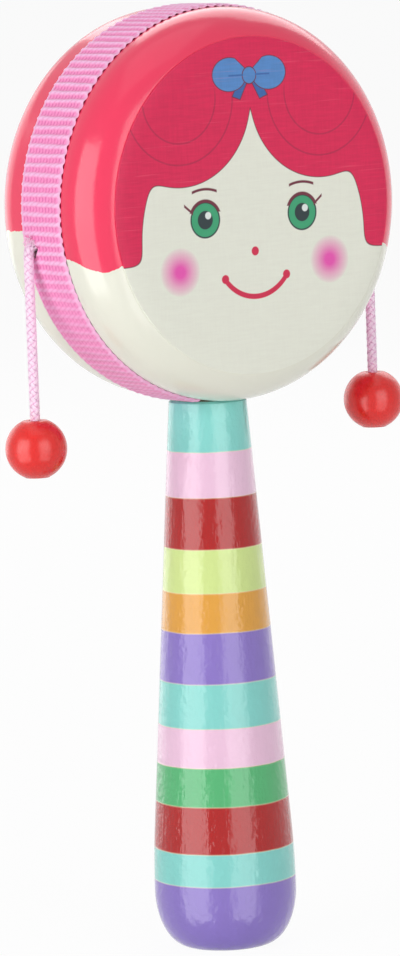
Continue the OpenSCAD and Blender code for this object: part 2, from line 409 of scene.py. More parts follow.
@dataclass(frozen=True)
class PrintedFilm:
    """Satin film with a linen texture, printed with a plain doll's face."""

    head_z: float
    ground: Colour = rgb(240, 242, 228)
    hair: Colour = rgb(232, 38, 90)
    thread: Colour = rgb(250, 128, 150)
    strand: Colour = rgb(200, 38, 82)
    outline: Colour = rgb(112, 40, 58)
    iris: Colour = rgb(62, 165, 118)
    pupil: Colour = rgb(32, 48, 52)
    glint: Colour = rgb(236, 244, 240)
    blush: Colour = rgb(240, 92, 184)
    lips: Colour = rgb(214, 42, 80)
    bow: Colour = rgb(92, 148, 214)
    bow_shade: Colour = rgb(62, 110, 180)
    ink_edge: float = 0.14
    fringe: Point = (16.5, 21.0)
    eye: Point = (11.4, -2.0)
    cheek: Point = (17.6, -11.4)
    bow_z: float = 24.6

    def disc(self, x: Value, z: Value, centre: Point, radius: float) -> Value:
        """Signed distance to a disc."""
        across, up = x - centre[0], z - centre[1]
        return (across * across + up * up) ** 0.5 - radius

    def hair_shape(self, x: Value, z: Value) -> Value:
        """Signed distance to hair parted in the middle, with a lock at each side. It takes the size of x."""
        crown = 21.0 - z
        fringe = self.disc(x, z, self.fringe, 16.5)
        cheek_line = self.disc(x, z, (0.0, -6.0), 26.2) * -1.0
        lock = (cheek_line * -1.0).merged_with(z + 9.6, 5.0) * -1.0
        return crown.at_most(fringe).merged_with(lock, 4.0)

    def strands(self, x: Value, z: Value) -> Value:
        """Mask of thin lines that follow the hair."""
        sweep = self.disc(x, z, self.fringe, 0.0)
        lines = abs(sweep - 12.4).at_most(abs(sweep - 8.4)) - 0.16
        return lines.inside(self.ink_edge) * (z - 22.0).inside(3.0)

    def inked(self, graph: ShaderGraph, shape: Value, colour: object, ink: Colour) -> bpy.types.NodeSocket:
        """Lays ink over a colour, inside the edge of a shape."""
        return graph.mixed(shape.inside(self.ink_edge), colour, ink)

    def face(self, graph: ShaderGraph, x: Value, z: Value) -> bpy.types.NodeSocket:
        """Colour of the whole print.

        Args:
            graph: the material under construction.
            x: place across the head, from its middle.
            z: place up the head, from its middle.

        Returns:
            The printed colour.
        """
        side = abs(x)
        cheek = self.disc(side, z, self.cheek, 0.0).between(4.6, 1.0)
        colour = graph.mixed(cheek ** 0.8, self.ground, self.blush)
        hair = self.hair_shape(side, z)
        colour = self.inked(graph, hair - 0.16, colour, self.outline)
        colour = self.inked(graph, hair, colour, self.hair)
        colour = graph.mixed(self.strands(side, z) * hair.inside(0.4), colour, self.strand)
        for radius, ink in ((3.45, self.pupil), (3.15, self.iris), (1.75, self.pupil)):
            colour = self.inked(graph, self.disc(side, z, self.eye, radius), colour, ink)
        for centre in ((-10.7, -1.2), (12.1, -1.2)):
            colour = self.inked(graph, self.disc(x, z, centre, 0.7), colour, self.glint)
        brow = (abs(self.disc(side, z, (11.4, -4.6), 8.4)) - 0.25).at_least(abs(side - 11.4) - 2.9)
        lid = (abs(self.disc(side, z, (11.4, -1.9), 3.5)) - 0.3).at_least(z * -1.0 - 0.6)
        flick = (abs((side - 14.6) * 0.8 - z - 0.3) - 0.28).at_least(abs(side - 15.2) - 1.0)
        lines = brow.at_least(z * -1.0).at_most(lid).at_most(flick)
        colour = self.inked(graph, lines, colour, self.outline)
        smile = (abs(self.disc(x, z, (0.0, -8.2), 9.0)) - 0.5).at_least(z + 13.6)
        corner = self.disc(side, z, (7.2, -13.5), 0.85)
        colour = self.inked(graph, smile.at_most(corner), colour, self.lips)
        colour = self.inked(graph, self.disc(x, z, (0.0, -8.6), 0.85), colour, self.lips)
        return self.tied_bow(graph, colour, side, z - self.bow_z)

    def tied_bow(
        self, graph: ShaderGraph, colour: bpy.types.NodeSocket, side: Value, up: Value
    ) -> bpy.types.NodeSocket:
        """Lays a small bow over a colour: two loops that narrow to a knot, two ends and their folds.

        Args:
            graph: the material under construction.
            colour: the print below it.
            side: distance from the middle of the face.
            up: height above the knot.

        Returns:
            The colour with the bow.
        """
        loop = self.disc(side, up * 1.25, (4.6, 0.4), 3.9).at_least(abs(up) - side * 0.85 - 0.5)
        end = (abs(side + up * 0.55 - 0.9) - 1.0).at_least(up).at_least(up * -1.0 - 5.2 + side * 0.35)
        fold = (abs(up - 0.1) - 0.16).at_least(abs(side - 3.1) - 1.7)
        knot = self.disc(side, up, (0.0, 0.0), 1.5)
        for shape, ink in ((end, self.bow_shade), (loop, self.bow), (knot, self.bow)):
            colour = self.inked(graph, shape - 0.2, colour, self.outline)
            colour = self.inked(graph, shape, colour, ink)
        return self.inked(graph, fold, colour, self.bow_shade)

    def material(self, name: str) -> bpy.types.Material:
        """Makes the printed film."""
        graph = ShaderGraph(bpy.data.materials.new(name))
        place = graph.place()
        x, _, z = graph.lengths(place)
        weft = graph.grain(graph.stretched(place, (0.1, 1.0, 1.0)), 0.34, 1.0)
        warp = graph.grain(graph.stretched(place, (1.0, 1.0, 0.1)), 0.34, 1.0)
        linen = weft * 0.7 + warp * 0.45
        printed = self.face(graph, x, z - self.head_z)
        red_only = self.hair_shape(abs(x), z - self.head_z).inside(0.4)
        depth = linen.between(-0.9, 0.9) * (red_only * 0.24 + 0.1)
        colour = graph.mixed(depth, printed, rgb(150, 110, 120), "MULTIPLY")
        slub = graph.grain(graph.stretched(place, (0.03, 1.0, 1.0)), 0.3, 1.0).between(0.35, 1.0)
        colour = graph.mixed(slub * red_only * 0.45, colour, self.thread)
        return graph.finished(
            Base_Color=colour,
            Roughness=linen * 0.05 + 0.42,
            Specular_IOR_Level=0.4,
            Normal=graph.relief(linen * 0.006),
        )


@dataclass(frozen=True)
class Grosgrain:
    """Ribbed ribbon: weft ribs with painted highlight on the crests, painted shade where fine warp shows,
    looped edges.
    """

    rib: Colour = rgb(255, 206, 240)
    valley: Colour = rgb(253, 155, 207)
    warp_shade: Colour = rgb(224, 98, 166)
    edge: Colour = rgb(255, 205, 238)
    half_width: float = 6.25
    edge_width: float = 0.75
    taut_below_z: float = 136.0

    def material(self, name: str) -> bpy.types.Material:
        """Makes the ribbon's cloth. The UV map counts ribs along it and millimetres across it."""
        graph = ShaderGraph(bpy.data.materials.new(name))
        along, across = graph.uv()
        place = graph.place()
        crest = (along * math.tau).maths("COSINE")
        warp = across.wave(1.02) * 0.9 + graph.grain(graph.vector(along * 0.8, across, 0.0), 0.5) * 0.9
        shade = graph.grain(place, 5.0)
        uneven = graph.grain(graph.vector(along * 0.9, across * 0.2, 0.0), 1.0)
        # Painted highlight and shade: the crests of the ribs are painted pale and the valleys deeper pink.
        light = (crest + warp * 0.3 + uneven * 0.35).between(-0.25, 0.85)
        _, _, z = graph.lengths(place)
        # Lower on the drum, where the ribbon is taut, the painted highlight on the crests is weaker and the
        # pink deeper.
        taut = (self.taut_below_z - z).between(0.0, 10.0)
        colour = graph.mixed(light * (1.0 - taut * 0.62), self.valley, self.rib)
        threads = warp.between(0.0, 0.9) * (1.0 - light * 0.8) * (1.0 - taut * 0.5)
        colour = graph.mixed(threads * 0.75, colour, self.warp_shade)
        knobbly = graph.grain(graph.vector(along * 3.0, across * 1.6, 0.0), 0.7)
        weave = (along + across * 0.3).wave(0.5) + knobbly * 0.8
        colour = graph.mixed(weave.between(-0.4, 1.6) * (taut * 0.1 + 0.35), colour, self.warp_shade)
        rim = (abs(across) - (self.half_width - self.edge_width)).between(0.0, 0.35)
        colour = graph.mixed(rim * 0.6, colour, self.edge)
        colour = graph.mixed(shade.between(-0.6, 1.2) * 0.1, colour, self.warp_shade)
        fibre = graph.grain(graph.vector(along * 6.0, across * 2.0, 0.0), 0.5, 3.0)
        return graph.finished(
            Base_Color=colour,
            Roughness=fibre * 0.06 + 0.66,
            Specular_IOR_Level=0.35,
            Sheen_Weight=0.25,
            Sheen_Roughness=0.4,
            Normal=graph.relief(warp * 0.018 + fibre * 0.02),
        )


@dataclass(frozen=True)
class BraidYarn:
    """Braided cord yarn: silky filaments that run along each strand, with painted shade at the strand's
    sides.
    """

    light: Colour = rgb(255, 230, 247)
    shade: Colour = rgb(236, 176, 216)

    def material(self, name: str) -> bpy.types.Material:
        """Makes the yarn. The UV map runs round a strand in turns and along it in millimetres."""
        graph = ShaderGraph(bpy.data.materials.new(name))
        around, along = graph.uv()
        filament = graph.grain(graph.vector(around * 9.0, along * 0.5, 0.0), 0.5, 3.0)
        soft = graph.grain(graph.place(), 2.0)
        # Painted shade: each strand is lighter along its outward top and darker at its sides, where it meets
        # the next.
        middle = (around * math.tau).maths("SINE").between(0.25, 0.95)
        lie = (filament + soft * 0.4).between(-0.9, 0.9)
        colour = graph.mixed(middle * 0.75 + lie * 0.25, self.shade, self.light)
        return graph.finished(
            Base_Color=colour,
            Roughness=filament * 0.06 + 0.6,
            Specular_IOR_Level=0.35,
            Sheen_Weight=0.3,
            Sheen_Roughness=0.4,
            Normal=graph.relief(filament * 0.02),
        )


@dataclass(frozen=True)
class BareBeech:
    """Bare beech with its short dark flecks."""

    wood: Colour = rgb(214, 176, 128)
    fleck: Colour = rgb(158, 112, 72)

    def material(self, name: str) -> bpy.types.Material:
        """Makes the bare wood, with its grain up the piece."""
        graph = ShaderGraph(bpy.data.materials.new(name))
        place = graph.place()
        rings = graph.grain(graph.stretched(place, (1.0, 1.0, 0.06)), 1.1, 4.0)
        flecks = graph.grain(graph.stretched(place, (2.0, 2.0, 0.4)), 0.5, 1.0).between(0.35, 0.6)
        colour = graph.mixed(rings.between(-0.8, 0.8) * 0.5, self.wood, self.fleck)
        colour = graph.mixed(flecks * 0.6, colour, self.fleck)
        return graph.finished(
            Base_Color=colour, Roughness=rings * 0.08 + 0.62, Normal=graph.relief(rings * 0.02)
        )


# Hand tools and yarn.


class Bench:
    """Hand tools that pick up a piece, shape it and finish it."""

    DRILL_SIDES = 48

    @staticmethod
    def clear() -> None:
        """Leaves edit mode and deselects everything."""
        if bpy.context.object is not None and bpy.context.object.mode != "OBJECT":
            bpy.ops.object.mode_set(mode="OBJECT")
        bpy.ops.object.select_all(action="DESELECT")

    @staticmethod
    def take(piece: bpy.types.Object) -> None:
        """Makes one piece the selected one."""
        Bench.clear()
        piece.select_set(True)
        bpy.context.view_layer.objects.active = piece

    @staticmethod
    def named(name: str) -> bpy.types.Object:
        """Names the piece just added, and its mesh."""
        piece = bpy.context.object
        piece.name = piece.data.name = name
        return piece

    @staticmethod
    def apply_place(piece: bpy.types.Object) -> None:
        """Puts a piece's place, turn and scale into its mesh."""
        Bench.take(piece)
        bpy.ops.object.transform_apply(location=True, rotation=True, scale=True)

    @staticmethod
    def smooth(piece: bpy.types.Object, angle_deg: float = 32.0) -> None:
        """Shades a piece smooth, with edges over this angle kept sharp."""
        Bench.take(piece)
        bpy.ops.object.shade_smooth_by_angle(angle=math.radians(angle_deg))

    @staticmethod
    def apply_modifier(piece: bpy.types.Object, kind: str, **settings: object) -> None:
        """Adds a modifier to a piece and applies it.

        Args:
            piece: the piece that it works on.
            kind: type of the modifier.
            settings: its properties.
        """
        Bench.take(piece)
        modifier = piece.modifiers.new(kind.title(), kind)
        for name, value in settings.items():
            setattr(modifier, name, value)
        bpy.ops.object.modifier_apply(modifier=modifier.name)

    @staticmethod
    def turn(name: str, outline: Sequence[Point], steps: int, closed: bool = False) -> bpy.types.Object:
        """Turns an outline about Z, as on a lathe.

        Args:
            name: name of the piece.
            outline: its radii and heights in millimetres; unless closed, it starts and ends on the axis.
            steps: steps of the full turn.
            closed: joins the outline's end to its start, for a piece with a bore.

        Returns:
            The turned piece.
        """
        Bench.clear()
        bpy.ops.mesh.primitive_circle_add(vertices=len(outline), radius=MM, fill_type="NOTHING")
        piece = Bench.named(name)
        for vertex, (radius, height) in zip(piece.data.vertices, outline):
            vertex.co = (radius * MM, 0.0, height * MM)
        bpy.ops.object.mode_set(mode="EDIT")
        if not closed:
            ends = {0, len(outline) - 1}
            Bench.pick(piece, "EDGE", lambda edge: {v.index for v in edge.verts} == ends)
            bpy.ops.mesh.delete(type="EDGE")
            bpy.ops.mesh.select_mode(type="VERT")
        bpy.ops.mesh.select_all(action="SELECT")
        bpy.ops.mesh.spin(steps=steps, angle=math.tau, center=(0, 0, 0), axis=(0, 0, 1))
        bpy.ops.mesh.select_all(action="SELECT")
        bpy.ops.mesh.remove_doubles(threshold=0.001 * MM)
        bpy.ops.mesh.normals_make_consistent(inside=False)
        bpy.ops.object.mode_set(mode="OBJECT")
        Bench.smooth(piece)
        return piece

    @staticmethod
    def pick(piece: bpy.types.Object, kind: str, wanted: Callable[[object], bool]) -> None:
        """Selects what passes a test on a piece in edit mode, and nothing else.

        Args:
            piece: the piece that is worked on.
            kind: EDGE or FACE.
            wanted: the test of one edge or face.
        """
        bpy.ops.mesh.select_mode(type=kind)
        bpy.ops.mesh.select_all(action="DESELECT")
        mesh = bmesh.from_edit_mesh(piece.data)
        for element in mesh.edges if kind == "EDGE" else mesh.faces:
            element.select_set(wanted(element))
        bmesh.update_edit_mesh(piece.data)

    @staticmethod
    def drill(piece: bpy.types.Object, diameter: float, middle: Vector, along: Vector, length: float) -> None:
        """Drills a round hole through a piece.

        Args:
            piece: the piece to drill.
            diameter: of the hole, in millimetres.
            middle: middle of the drilled length, in millimetres.
            along: direction of the hole.
            length: drilled length, in millimetres.
        """
        Bench.clear()
        bpy.ops.mesh.primitive_cylinder_add(
            vertices=Bench.DRILL_SIDES, radius=diameter / 2 * MM, depth=length * MM, location=middle * MM,
            rotation=along.to_track_quat("Z", "Y").to_euler(),
        )
        drill = Bench.named("drill")
        Bench.apply_modifier(piece, "BOOLEAN", operation="DIFFERENCE", object=drill, solver="EXACT")
        bpy.data.objects.remove(drill, do_unlink=True)

    @staticmethod
    def dress(piece: bpy.types.Object, material: bpy.types.Material, slot: str) -> bpy.types.Object:
        """Gives a piece its material and logs its count of faces."""
        piece.data.materials.clear()
        piece.data.materials.append(material)
        log.info("%s: %d faces", piece.name, len(piece.data.polygons))
        return piece

    @staticmethod
    def arc(centre: Point, radius: float, start: float, end: float, steps: int) -> list[Point]:
        """Points of an arc from one angle to another, in degrees, both ends included."""
        angles = [math.radians(start + (end - start) * i / steps) for i in range(steps + 1)]
        return [(centre[0] + radius * math.cos(a), centre[1] + radius * math.sin(a)) for a in angles]


@dataclass
class Strand:
    """One tube of yarn: the points it follows, in millimetres, and the half sizes of its section."""

    points: list[Vector]
    outwards: list[Vector]
    half_width: float
    half_height: float


class Yarn:
    """Makes tubes of yarn in one mesh, with a UV map that runs round and along each tube."""

    SIDES = 6

    def __init__(self, name: str) -> None:
        """Starts an empty piece."""
        self.name = name
        self.mesh = bmesh.new()
        self.uv = self.mesh.loops.layers.uv.new("UVMap")

    def lay(self, strand: Strand) -> None:
        """Adds a tube along a strand, closed at both ends."""
        rings, travelled = [], [0.0]
        last = len(strand.points) - 1
        for i, point in enumerate(strand.points):
            before, after = strand.points[max(i - 1, 0)], strand.points[min(i + 1, last)]
            if i:
                travelled.append(travelled[-1] + (point - strand.points[i - 1]).length)
            along = (after - before).normalized()
            out = (strand.outwards[i] - along * strand.outwards[i].dot(along)).normalized()
            side = along.cross(out)
            ring = []
            for k in range(self.SIDES):
                angle = math.tau * k / self.SIDES
                sideways = side * (math.cos(angle) * strand.half_width)
                offset = sideways + out * (math.sin(angle) * strand.half_height)
                ring.append(self.mesh.verts.new((point + offset) * MM))
            rings.append(ring)
        for i in range(last):
            for k in range(self.SIDES):
                n = (k + 1) % self.SIDES
                face = self.mesh.faces.new((rings[i][k], rings[i][n], rings[i + 1][n], rings[i + 1][k]))
                face.smooth = True
                turns = ((k, i), (k + 1, i), (k + 1, i + 1), (k, i + 1))
                for loop, (turn, step) in zip(face.loops, turns):
                    loop[self.uv].uv = (turn / self.SIDES, travelled[step])
        self.mesh.faces.new(list(reversed(rings[0])))
        self.mesh.faces.new(rings[-1])

    def piece(self) -> bpy.types.Object:
        """Closes the mesh and returns it as a piece."""
        bmesh.ops.recalc_face_normals(self.mesh, faces=self.mesh.faces)
        data = bpy.data.meshes.new(self.name)
        self.mesh.to_mesh(data)
        self.mesh.free()
        made = bpy.data.objects.new(self.name, data)
        bpy.context.scene.collection.objects.link(made)
        return made


@dataclass
class Braid:
    """Round braid of eight strands, four each way, over and under, round a plain core."""

    diameter: float = 2.0
    pitch: float = 5.6
    strands_each_way: int = 4
    strand_width: float = 0.98
    strand_height: float = 0.36
    weave_depth: float = 0.09
    step: float = 0.28
    core_share: float = 0.78

    def lay(self, yarn: Yarn, line: Line, start: float, end: float) -> None:
        """Braids the cord along a line.

        Args:
            yarn: the piece that takes the strands.
            line: gives the point, and the two directions across the cord, at a length along it.
            start: length where the braid starts.
            end: length where it ends.
        """
        count = max(2, round((end - start) / self.step))
        stations = [start + (end - start) * i / count for i in range(count + 1)]
        middle_r = (self.diameter - self.strand_height) / 2 - self.weave_depth
        for way in (1, -1):
            for number in range(self.strands_each_way):
                points, outwards = [], []
                for s in stations:
                    turn = math.tau * s / self.pitch
                    angle = way * turn + math.tau * number / self.strands_each_way
                    radius = middle_r + way * self.weave_depth * math.cos(self.strands_each_way * turn)
                    point, first, second = line(s)
                    out = first * math.cos(angle) + second * math.sin(angle)
                    points.append(point + out * radius)
                    outwards.append(out)
                yarn.lay(Strand(points, outwards, self.strand_width / 2, self.strand_height / 2))
        cores = [line(s) for s in stations[::4]] + [line(stations[-1])]
        half = self.diameter / 2 * self.core_share
        yarn.lay(Strand([c[0] for c in cores], [c[1] for c in cores], half, half))


# The studio and the rattle's parts.


class Side(Enum):
    """Side of the rattle, as seen from the front."""

    LEFT = -1
    RIGHT = 1

    @property
    def word(self) -> str:
        """The side in lower case, as the nodes and joints name it."""
        return self.name.lower()


@dataclass(frozen=True)
class SoftBox:
    """Soft box that faces the rattle: degrees round from the camera and up, metres away, size and light."""

    name: str
    azimuth: float
    elevation: float
    far: float
    size: Point
    light: float


@dataclass
class Studio:
    """Camera, soft lights and a white floor."""

    azimuth: float = -35.79
    elevation: float = 6.55
    roll: float = -2.14
    distance: float = 1000.0
    target: tuple[float, float, float] = (-1.83, 0.87, 91.23)
    focal_px: float = 5188.93
    long_side_px: float = 956.0
    sensor_mm: float = 36.0
    fill: float = 0.1
    soft_boxes: tuple[SoftBox, ...] = (
        SoftBox("left_soft_box", -50.0, -3.0, 1.15, (1.0, 1.7), 3.65),
        SoftBox("right_soft_box", 33.0, -3.0, 1.15, (0.84, 1.75), 2.9),
        SoftBox("top_soft_box", 10.0, 80.0, 1.2, (1.0, 1.0), 0.55),
        SoftBox("left_back_box", -138.0, 9.0, 1.3, (0.9, 0.9), 0.9),
        SoftBox("right_back_box", 138.0, 9.0, 1.3, (0.9, 0.9), 0.3),
        SoftBox("high_back_box", 168.0, 42.0, 1.2, (1.2, 0.8), 1.9),
    )
    aim: tuple[float, float, float] = (0.0, 0.0, 0.1)
    floor_r: float = 20.0
    floor_rim: float = 18.5
    white_share: float = 0.95

    @staticmethod
    def away(azimuth: float, elevation: float) -> Vector:
        """Direction from the rattle, at degrees round from its front and degrees up."""
        a, e = math.radians(azimuth), math.radians(elevation)
        return Vector((math.sin(a) * math.cos(e), -math.cos(a) * math.cos(e), math.sin(e)))

    def set_camera(self) -> None:
        """Places the camera as the photograph has it."""
        back = self.away(self.azimuth, self.elevation)
        right = (-back).cross(Z_AXIS).normalized()
        up = right.cross(-back)
        roll = math.radians(self.roll)
        rolled_right = right * math.cos(roll) + up * math.sin(roll)
        rolled_up = up * math.cos(roll) - right * math.sin(roll)
        data = bpy.data.cameras.new("camera")
        data.sensor_width = self.sensor_mm
        data.lens = self.focal_px * self.sensor_mm / self.long_side_px
        data.clip_start, data.clip_end = 0.01, 60.0
        camera = bpy.data.objects.new("camera", data)
        turn = Matrix((rolled_right, rolled_up, back)).transposed().to_4x4()
        camera.matrix_world = Matrix.Translation((Vector(self.target) + back * self.distance) * MM) @ turn
        bpy.context.scene.collection.objects.link(camera)
        bpy.context.scene.camera = camera

    def add_box(self, box: SoftBox) -> None:
        """Adds a soft box, which the camera doesn't see."""
        width, height = box.size
        data = bpy.data.lights.new(box.name, "AREA")
        data.shape, data.size, data.size_y = "RECTANGLE", width, height
        data.energy = box.light * math.pi * width * height
        lamp = bpy.data.objects.new(box.name, data)
        lamp.visible_camera = False
        away = self.away(self.azimuth + box.azimuth, box.elevation)
        turn = away.to_track_quat("Z", "Y").to_matrix().to_4x4()
        lamp.matrix_world = Matrix.Translation(Vector(self.aim) + away * box.far) @ turn
        bpy.context.scene.collection.objects.link(lamp)

    def seen_directly(self, graph: ShaderGraph) -> Value:
        """Mask of the rays that show the white background: camera, glossy and transmission rays."""
        path = graph.node("ShaderNodeLightPath")
        seen = Value(graph, path.outputs["Is Camera Ray"])
        for name in ("Is Glossy Ray", "Is Transmission Ray"):
            seen = seen.at_least(Value(graph, path.outputs[name]))
        return seen

    def set_world(self) -> None:
        """White behind everything, and a plain fill light from all round."""
        graph = ShaderGraph(bpy.data.worlds.new("studio"))
        strength = self.seen_directly(graph) * (1.0 - self.fill) + self.fill
        light = graph.node("ShaderNodeBackground", None, {"Color": WHITE, "Strength": strength})
        graph.node("ShaderNodeOutputWorld", None, {"Surface": light.outputs[0]})
        bpy.context.scene.world = graph.owner

    def lay_floor(self) -> None:
        """Lays a wide white floor that keeps a faint shadow and is clear to reflected rays."""
        Bench.clear()
        bpy.ops.mesh.primitive_circle_add(vertices=96, radius=self.floor_r, fill_type="NGON")
        floor = Bench.named("floor")
        bpy.ops.object.mode_set(mode="EDIT")
        bpy.ops.mesh.select_all(action="SELECT")
        bpy.ops.mesh.inset(thickness=self.floor_rim)
        bpy.ops.object.mode_set(mode="OBJECT")
        graph = ShaderGraph(bpy.data.materials.new("white_floor"))
        mottle = graph.grain(graph.place(), 900.0).between(-1.0, 1.0)
        tint = graph.mixed(mottle * 0.01, (0.9, 0.9, 0.9, 1.0), (0.8, 0.8, 0.8, 1.0))
        paper = graph.node("ShaderNodeBsdfDiffuse", None, {"Color": tint})
        white = graph.node("ShaderNodeEmission", None, {"Color": WHITE, "Strength": 1.0})
        mask = self.seen_directly(graph) * self.white_share
        both = graph.node("ShaderNodeMixShader", None, {0: mask, 1: paper.outputs[0], 2: white.outputs[0]})
        gloss = graph.node("ShaderNodeLightPath").outputs["Is Glossy Ray"]
        clear = graph.node("ShaderNodeBsdfTransparent").outputs[0]
        shown = graph.node("ShaderNodeMixShader", None, {0: gloss, 1: both.outputs[0], 2: clear})
        graph.node("ShaderNodeOutputMaterial", None, {"Surface": shown.outputs[0]})
        floor.data.materials.append(graph.owner)

    def build(self) -> None:
        """Sets up the camera, the lights and the floor."""
        self.set_camera()
        self.set_world()
        self.lay_floor()
        for box in self.soft_boxes:
            self.add_box(box)
        bpy.context.scene.view_settings.view_transform = "Standard"


@dataclass
class HangingCord:
    """Braided cord at one side: its knot in the drum, its bend over the hole and its hanging length."""

    side: Side
    drum_z: float
    braid: Braid = field(default_factory=Braid)
    drum_r: float = 37.5
    inner_r: float = 32.5
    hole_angle: float = 8.8
    hole_y: float = 2.4
    seat_gap: float = 0.1
    bend_r: float = 1.6
    tail: float = 3.0
    knot_d: float = 3.8
    knot_turns: int = 2
    turn_d: float = 1.5
    turn_pitch: float = 1.1
    steps_a_turn: int = 22
    route: tuple[float, ...] = ()

    @property
    def knot_h(self) -> float:
        """Height of a knot, in millimetres."""
        return (self.knot_turns - 1) * self.turn_pitch + self.turn_d

    def joint_point(self) -> Vector:
        """Lower end of the bend, where the cord starts to hang, in millimetres."""
        joint = next(j for j in frame["joints"] if j["name"] == f"{self.side.word}_fling")
        return Vector(joint["pos_m"]) / MM

    def mouth(self) -> Vector:
        """Point where the cord leaves its hole, in millimetres."""
        a, r, side = math.radians(self.hole_angle), self.drum_r + self.seat_gap, self.side.value
        return Vector((side * r * math.cos(a), -side * self.hole_y, self.drum_z - r * math.sin(a)))

    def bend_line(self, s: float) -> tuple[Vector, Vector, Vector]:
        """Point and cross directions of the bend, at a length that counts below zero from its lower end."""
        a = math.radians(self.hole_angle)
        outwards, down = X_AXIS * self.side.value, -Z_AXIS
        centre = self.joint_point() - outwards * self.bend_r
        turned = min(-s / self.bend_r, math.pi / 2 - a)
        first = outwards * math.cos(turned) - down * math.sin(turned)
        along = down * math.cos(turned) + outwards * math.sin(turned)
        straight = min(s + (math.pi / 2 - a) * self.bend_r, 0.0)
        return centre + first * self.bend_r + along * straight, first, Y_AXIS

    def drop_line(self, s: float) -> tuple[Vector, Vector, Vector]:
        """Point and cross directions of the hanging length, at a length below the bend."""
        return self.joint_point() - Z_AXIS * s, X_AXIS * self.side.value, Y_AXIS

    def wind_knot(self, yarn: Yarn, middle: Vector, axis: Vector, across: Vector) -> None:
        """Winds the turns of a knot round the cord.

        Args:
            yarn: the piece that takes the turns.
            middle: middle of the knot, in millimetres.
            axis: direction of the cord through it.
            across: any direction across the cord.
        """
        other = axis.cross(across)
        radius = (self.knot_d - self.turn_d) / 2
        steps = self.steps_a_turn * self.knot_turns
        points, outwards = [], []
        for i in range(steps + 1):
            share = i / steps
            angle = math.tau * self.knot_turns * share
            out = across * math.cos(angle) + other * math.sin(angle)
            climb = (share - 0.5) * self.knot_turns * self.turn_pitch * 0.5
            points.append(middle + out * radius + axis * climb)
            outwards.append(out)
        yarn.lay(Strand(points, outwards, self.turn_d / 2, self.turn_d / 2))

    def build(self, yarn_material: bpy.types.Material, with_pieces: list[bpy.types.Object]) -> None:
        """Makes the cord's pieces.

        Args:
            yarn_material: the cord's finish.
            with_pieces: the bead and knot that hang on it; not used.
        """
        word, joint, mouth = self.side.word, self.joint_point(), self.mouth()
        in_rim = self.drum_r + self.seat_gap - self.inner_r
        bend_length = (math.pi / 2 - math.radians(self.hole_angle)) * self.bend_r
        root = Yarn(f"{word}_cord_root")
        self.braid.lay(root, self.bend_line, -bend_length - (in_rim + self.knot_h + self.tail), 0.0)
        knot_middle, across, _ = self.bend_line(-bend_length - in_rim - self.knot_h / 2)
        inwards = knot_middle - mouth
        self.wind_knot(root, knot_middle, Vector((inwards.x, 0.0, inwards.z)).normalized(), across)
        piece = Bench.dress(root.piece(), yarn_material, "cord")
        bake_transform(piece)
        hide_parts(f"{word}_stopper_knot")
        length = self.route[-1]
        drop = Yarn(f"{word}_hanging_cord")
        self.braid.lay(drop, self.drop_line, 0.0, length)
        piece = Bench.dress(drop.piece(), yarn_material, "cord")
        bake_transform(piece)
        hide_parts(f"{word}_cord")
        self.braid.diameter * MM


@dataclass
class Bead:
    """Turned bead with flats at its poles, a bore for the cord and a recess for the knot."""

    side: Side
    drop: float
    diameter: float = 11.7
    height: float = 10.8
    bore_d: float = 2.6
    recess_d: float = 4.2
    recess: float = 2.8
    edge: float = 0.25
    squeezed_cord_d: float = 1.9
    steps: int = 96
    ball_steps: int = 40

    def outline(self) -> list[Point]:
        """Closed outline of the bead, round its middle."""
        r, h = self.diameter / 2, self.height / 2
        flat_angle = math.degrees(math.asin(h / r))
        ball = Bench.arc((0.0, 0.0), r, -flat_angle, flat_angle, self.ball_steps)
        bore, pocket, e = self.bore_d / 2, self.recess_d / 2, self.edge
        crown = [(bore + e, h), (bore + e * 0.3, h - e * 0.3), (bore, h - e)]
        ceiling = self.recess - h
        floor = [(bore, ceiling), (pocket, ceiling)]
        lip = [(pocket, -h + e), (pocket + e * 0.3, -h + e * 0.3), (pocket + e, -h)]
        return ball + crown + floor + lip

    def build(
        self, lacquer: bpy.types.Material, cord: HangingCord, yarn_material: bpy.types.Material
    ) -> list[bpy.types.Object]:
        """Makes the bead and the knot under it.

        Args:
            lacquer: the bead's finish.
            cord: the cord whose knot holds the bead.
            yarn_material: the cord's finish.

        Returns:
            The bead and its knot.
        """
        word = self.side.word
        bead = Bench.turn(f"{word}_round_bead", self.outline(), self.steps, closed=True)
        middle = cord.joint_point() - Z_AXIS * self.drop
        bead.location = middle * MM
        Bench.apply_place(bead)
        Bench.dress(bead, lacquer, "bead_lacquer")
        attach(bead, f"{word}_bead")
        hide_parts(f"{word}_bead")
        knot_middle = middle + Z_AXIS * (self.recess - cord.knot_h / 2 - self.height / 2)
        yarn = Yarn(f"{word}_end_knot")
        cord.wind_knot(yarn, knot_middle, -Z_AXIS, X_AXIS)
        core = [knot_middle + Z_AXIS * (cord.knot_h * (0.5 - i / 6)) for i in range(7)]
        yarn.lay(Strand(core, [X_AXIS] * 7, self.squeezed_cord_d / 2, self.squeezed_cord_d / 2))
        knot = Bench.dress(yarn.piece(), yarn_material, "cord")
        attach(knot, f"{word}_bead")
        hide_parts(f"{word}_bead_knot")
        return [bead, knot]


class Head(Enum):
    """Head of the drum, and the way that it faces along Y."""

    FRONT = -1
    REAR = 1

    @property
    def word(self) -> str:
        """The head in lower case, as the nodes name it."""
        return self.name.lower()


